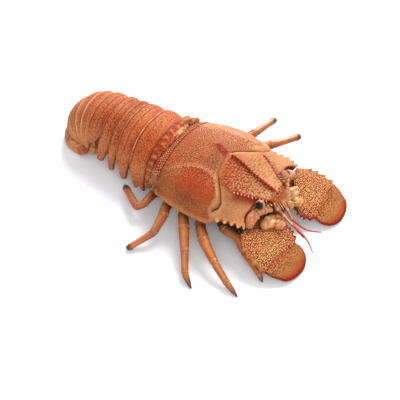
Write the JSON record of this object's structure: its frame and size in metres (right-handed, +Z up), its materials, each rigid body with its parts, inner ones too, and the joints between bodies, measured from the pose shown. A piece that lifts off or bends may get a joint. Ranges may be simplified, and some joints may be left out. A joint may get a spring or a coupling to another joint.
{
  "type": "cooked slipper lobster",
  "caption": "Whole cooked slipper lobster on its belly: broad toothed carapace, flat shovel antennae, banded tail curled under at the end, slender legs spread.",
  "frame": {"origin": "on the ground below the middle of the thorax, in the flat of the belly", "axes": "head towards -Y, tail towards +Y, the animal's right side towards -X, +Z up"},
  "size_m": [0.1342, 0.1851, 0.0397],
  "materials": {
    "shell": "granular cooked shell, satin, tan-orange with pale grains",
    "tail_shell": "granular cooked shell, satin, red-orange bands with tan side flaps",
    "tail_fan": "thin cooked shell, satin, yellow-tan and red",
    "antenna": "granular cooked shell, satin, golden tan with dark red rims",
    "pale_joint": "smooth cooked shell, moist, pale yellow-tan",
    "leg_shell": "smooth cooked shell, glossy orange-brown, paler at the joints",
    "feeler": "smooth cooked shell, glossy red-orange",
    "eye": "glossy black with a tan stalk"
  },
  "bodies": {
    "root": {"antenna_base_left": "antenna", "antenna_base_right": "antenna", "antenna_blade_left": "antenna", "antenna_blade_right": "antenna", "antenna_fan_left": "antenna", "antenna_fan_right": "antenna", "antenna_root_left": "antenna", "antenna_root_right": "antenna", "antennule_left": "feeler", "antennule_right": "feeler", "belly": "leg_shell", "carapace": "shell", "eye_left": "eye", "eye_right": "eye", "fan_inner_left": "tail_fan", "fan_inner_right": "tail_fan", "fan_middle": "tail_fan", "fan_outer_left": "tail_fan", "fan_outer_right": "tail_fan", "fan_root_left": "tail_fan", "fan_root_right": "tail_fan", "head_underside": "pale_joint", "hind_plate": "tail_shell", "joint_inner_left": "pale_joint", "joint_inner_right": "pale_joint", "joint_large_left": "pale_joint", "joint_large_right": "pale_joint", "joint_outer_left": "pale_joint", "joint_outer_right": "pale_joint", "leg_left_1": "leg_shell", "leg_left_2": "leg_shell", "leg_left_3": "leg_shell", "leg_left_4": "leg_shell", "leg_left_5": "leg_shell", "leg_right_1": "leg_shell", "leg_right_2": "leg_shell", "leg_right_3": "leg_shell", "leg_right_4": "leg_shell", "leg_right_5": "leg_shell", "mouthpart_left": "pale_joint", "mouthpart_right": "pale_joint", "tail_segment_1": "tail_shell", "tail_segment_2": "tail_shell", "tail_segment_3": "tail_shell", "tail_segment_4": "tail_shell", "tail_segment_5": "tail_shell", "tail_segment_6": "tail_shell"}
  },
  "joints": []
}
